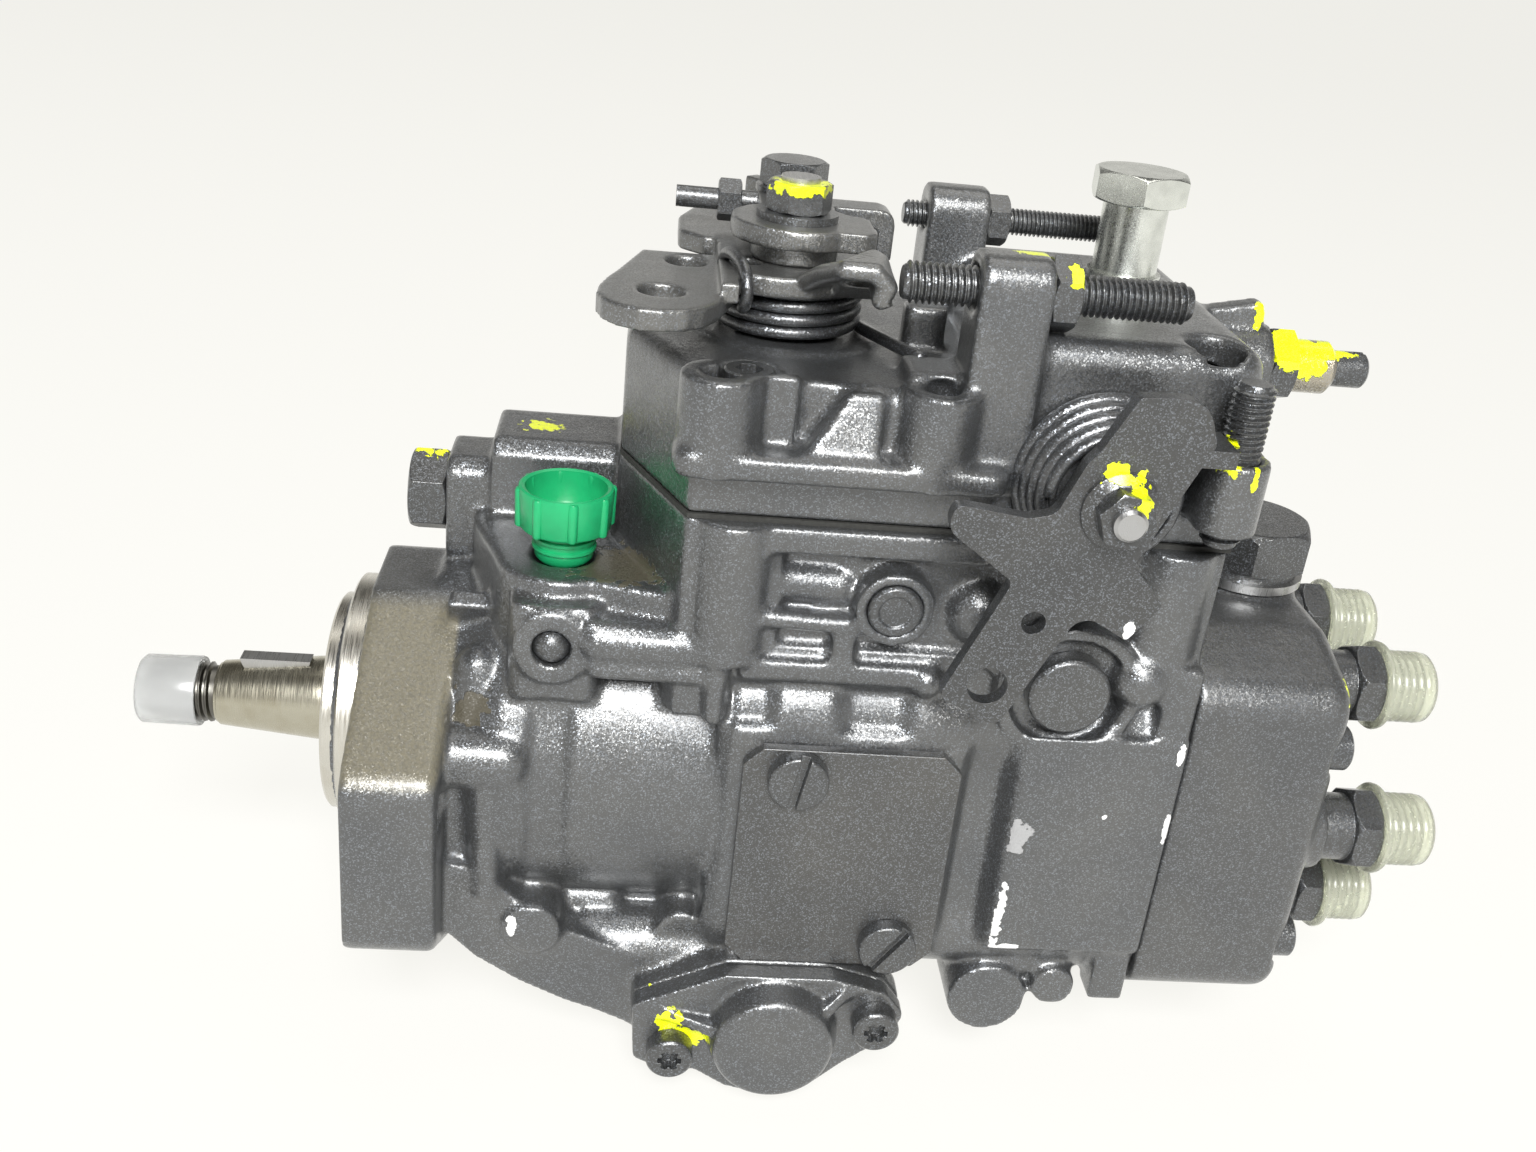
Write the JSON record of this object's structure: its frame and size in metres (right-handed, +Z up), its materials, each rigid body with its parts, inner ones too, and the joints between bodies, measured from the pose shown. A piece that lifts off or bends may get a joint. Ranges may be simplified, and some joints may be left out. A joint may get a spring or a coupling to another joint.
{
  "type": "diesel injection pump",
  "caption": "Axial-piston rotary diesel injection pump: flanged housing, mechanical governor under a cast cover, throttle and stop levers, capped fuel outlets.",
  "frame": {"origin": "centre of the flange's mounting face, on the drive shaft's axis", "axes": "+X along the drive shaft from its taper towards the outlets, +Y away from the stop lever, +Z up towards the governor cover"},
  "size_m": [0.2943, 0.123, 0.2035],
  "materials": {
    "casting_paint": "satin charcoal paint on cast aluminium",
    "head_paint": "satin charcoal paint on cast iron",
    "fastener_paint": "satin charcoal paint on steel",
    "lever_steel": "dark satin finish on pressed steel",
    "spring_steel": "dark oiled spring wire",
    "machined_steel": "bare turned and ground steel",
    "zinc_plate": "bright zinc plate",
    "green_cap": "moulded bright green plastic",
    "pale_cap": "translucent moulded plastic",
    "clear_cap": "clear moulded plastic",
    "brass": "turned brass",
    "bush_bronze": "bearing bronze",
    "seal_rubber": "moulded rubber",
    "gasket": "flat fibre gasket"
  },
  "bodies": {
    "housing": {"pump_housing": "casting_paint", "governor_cover": "casting_paint", "timing_covers": "casting_paint", "side_cover_plate": "casting_paint", "distributor_head": "head_paint", "socket_screws": "fastener_paint", "side_cover_screws": "fastener_paint", "side_plugs": "fastener_paint", "timing_cover_screws": "fastener_paint", "governor_pivot_bolts": "fastener_paint", "head_centre_plug": "fastener_paint", "stop_screws": "fastener_paint", "lock_nuts": "fastener_paint", "full_load_screw": "fastener_paint", "delivery_valve_holders": "fastener_paint", "shutoff_port_plug": "fastener_paint", "throttle_spring": "spring_steel", "stop_spring": "spring_steel", "governor_spring": "spring_steel", "plunger_springs": "spring_steel", "timing_spring": "spring_steel", "governor_shaft": "machined_steel", "vane_pump_ring": "machined_steel", "vane_pump_cover": "machined_steel", "plunger_barrel": "machined_steel", "spring_bridge": "machined_steel", "shutoff_port_washer": "machined_steel", "overflow_bolt": "zinc_plate", "inlet_cap": "green_cap", "delivery_valve_caps": "pale_cap", "full_load_sleeve": "brass", "shaft_bush": "bush_bronze", "shaft_oil_seal": "seal_rubber", "cover_gasket": "gasket"},
    "drive_shaft": {"drive_shaft": "machined_steel", "shaft_key": "machined_steel", "shaft_thread_cap": "clear_cap", "pump_rotor": "machined_steel", "drive_gear": "machined_steel", "cross_disc": "machined_steel", "cam_plate": "machined_steel", "plunger": "machined_steel"},
    "governor_carrier": {"governor_carrier": "machined_steel"},
    "flyweight_1": {"flyweight_1": "machined_steel"},
    "flyweight_2": {"flyweight_2": "machined_steel"},
    "flyweight_3": {"flyweight_3": "machined_steel"},
    "flyweight_4": {"flyweight_4": "machined_steel"},
    "governor_sleeve": {"governor_sleeve": "machined_steel"},
    "governor_lever": {"governor_lever": "machined_steel"},
    "control_sleeve": {"control_sleeve": "machined_steel"},
    "timing_piston": {"timing_piston": "machined_steel"},
    "roller_ring": {"roller_ring": "machined_steel", "cam_rollers": "machined_steel"},
    "throttle_lever": {"throttle_lever": "lever_steel", "throttle_drive_plate": "lever_steel", "throttle_fasteners": "fastener_paint", "throttle_shaft": "machined_steel"},
    "stop_lever": {"stop_lever": "lever_steel", "stop_shaft": "machined_steel", "stop_lever_nut": "fastener_paint"}
  },
  "joints": [
    {"name": "drive_shaft_spin", "type": "hinge", "parent": "housing", "child": "drive_shaft", "pos_m": [0, 0, 0], "axis": [1, 0, 0], "continuous": true},
    {"name": "governor_spin", "type": "hinge", "parent": "housing", "child": "governor_carrier", "pos_m": [0, 0.011, 0.05], "axis": [1, 0, 0], "continuous": true},
    {"name": "flyweight_1_swing", "type": "hinge", "parent": "governor_carrier", "child": "flyweight_1", "pos_m": [0.0745, 0.011, 0.065], "axis": [0, -1, 0], "range_deg": [0, 12]},
    {"name": "flyweight_2_swing", "type": "hinge", "parent": "governor_carrier", "child": "flyweight_2", "pos_m": [0.0745, -0.004, 0.05], "axis": [0, 0, -1], "range_deg": [0, 12]},
    {"name": "flyweight_3_swing", "type": "hinge", "parent": "governor_carrier", "child": "flyweight_3", "pos_m": [0.0745, 0.011, 0.035], "axis": [0, 1, 0], "range_deg": [0, 12]},
    {"name": "flyweight_4_swing", "type": "hinge", "parent": "governor_carrier", "child": "flyweight_4", "pos_m": [0.0745, 0.026, 0.05], "axis": [0, 0, 1], "range_deg": [0, 12]},
    {"name": "governor_sleeve_slide", "type": "slide", "parent": "housing", "child": "governor_sleeve", "axis": [1, 0, 0], "range_m": [0, 0.00147]},
    {"name": "governor_lever_swing", "type": "hinge", "parent": "housing", "child": "governor_lever", "pos_m": [0.1475, 0, 0.0365], "axis": [0, 1, 0], "range_deg": [0, 6.2], "stiffness_Nm_per_rad": 0.6, "springref_deg": -8.59, "deforming": ["governor_spring"]},
    {"name": "control_sleeve_slide", "type": "slide", "parent": "housing", "child": "control_sleeve", "axis": [-1, 0, 0], "range_m": [0, 0.00267]},
    {"name": "timing_piston_slide", "type": "slide", "parent": "housing", "child": "timing_piston", "axis": [0, 1, 0], "range_m": [0, 0.008], "stiffness_N_per_m": 2500, "springref_m": -0.004, "deforming": ["timing_spring"]},
    {"name": "roller_ring_turn", "type": "hinge", "parent": "housing", "child": "roller_ring", "pos_m": [0, 0, 0], "axis": [1, 0, 0], "range_deg": [0, 9.27]},
    {"name": "throttle_lever_swing", "type": "hinge", "parent": "housing", "child": "throttle_lever", "pos_m": [0.085, -0.003, 0.1086], "axis": [0, 0, 1], "range_deg": [-45, 0], "stiffness_Nm_per_rad": 0.8, "springref_deg": 34.38, "deforming": ["throttle_spring", "governor_spring"]},
    {"name": "stop_lever_swing", "type": "hinge", "parent": "housing", "child": "stop_lever", "pos_m": [0.1455, -0.0535, 0.0835], "axis": [0, -1, 0], "range_deg": [0, 30], "stiffness_Nm_per_rad": 0.8, "springref_deg": -34.38, "deforming": ["stop_spring"]}
  ],
  "couplings": [
    {"joint": "governor_spin", "follows": "drive_shaft_spin", "ratio": -1.6667},
    {"joint": "flyweight_1_swing", "follows": "governor_lever_swing", "ratio": 1.9286},
    {"joint": "flyweight_2_swing", "follows": "governor_lever_swing", "ratio": 1.9286},
    {"joint": "flyweight_3_swing", "follows": "governor_lever_swing", "ratio": 1.9286},
    {"joint": "flyweight_4_swing", "follows": "governor_lever_swing", "ratio": 1.9286},
    {"joint": "governor_sleeve_slide", "follows": "governor_lever_swing", "m_per_rad": 0.0135},
    {"joint": "control_sleeve_slide", "follows": "governor_lever_swing", "m_per_rad": 0.0245},
    {"joint": "roller_ring_turn", "follows": "timing_piston_slide", "rad_per_m": 20.202}
  ]
}
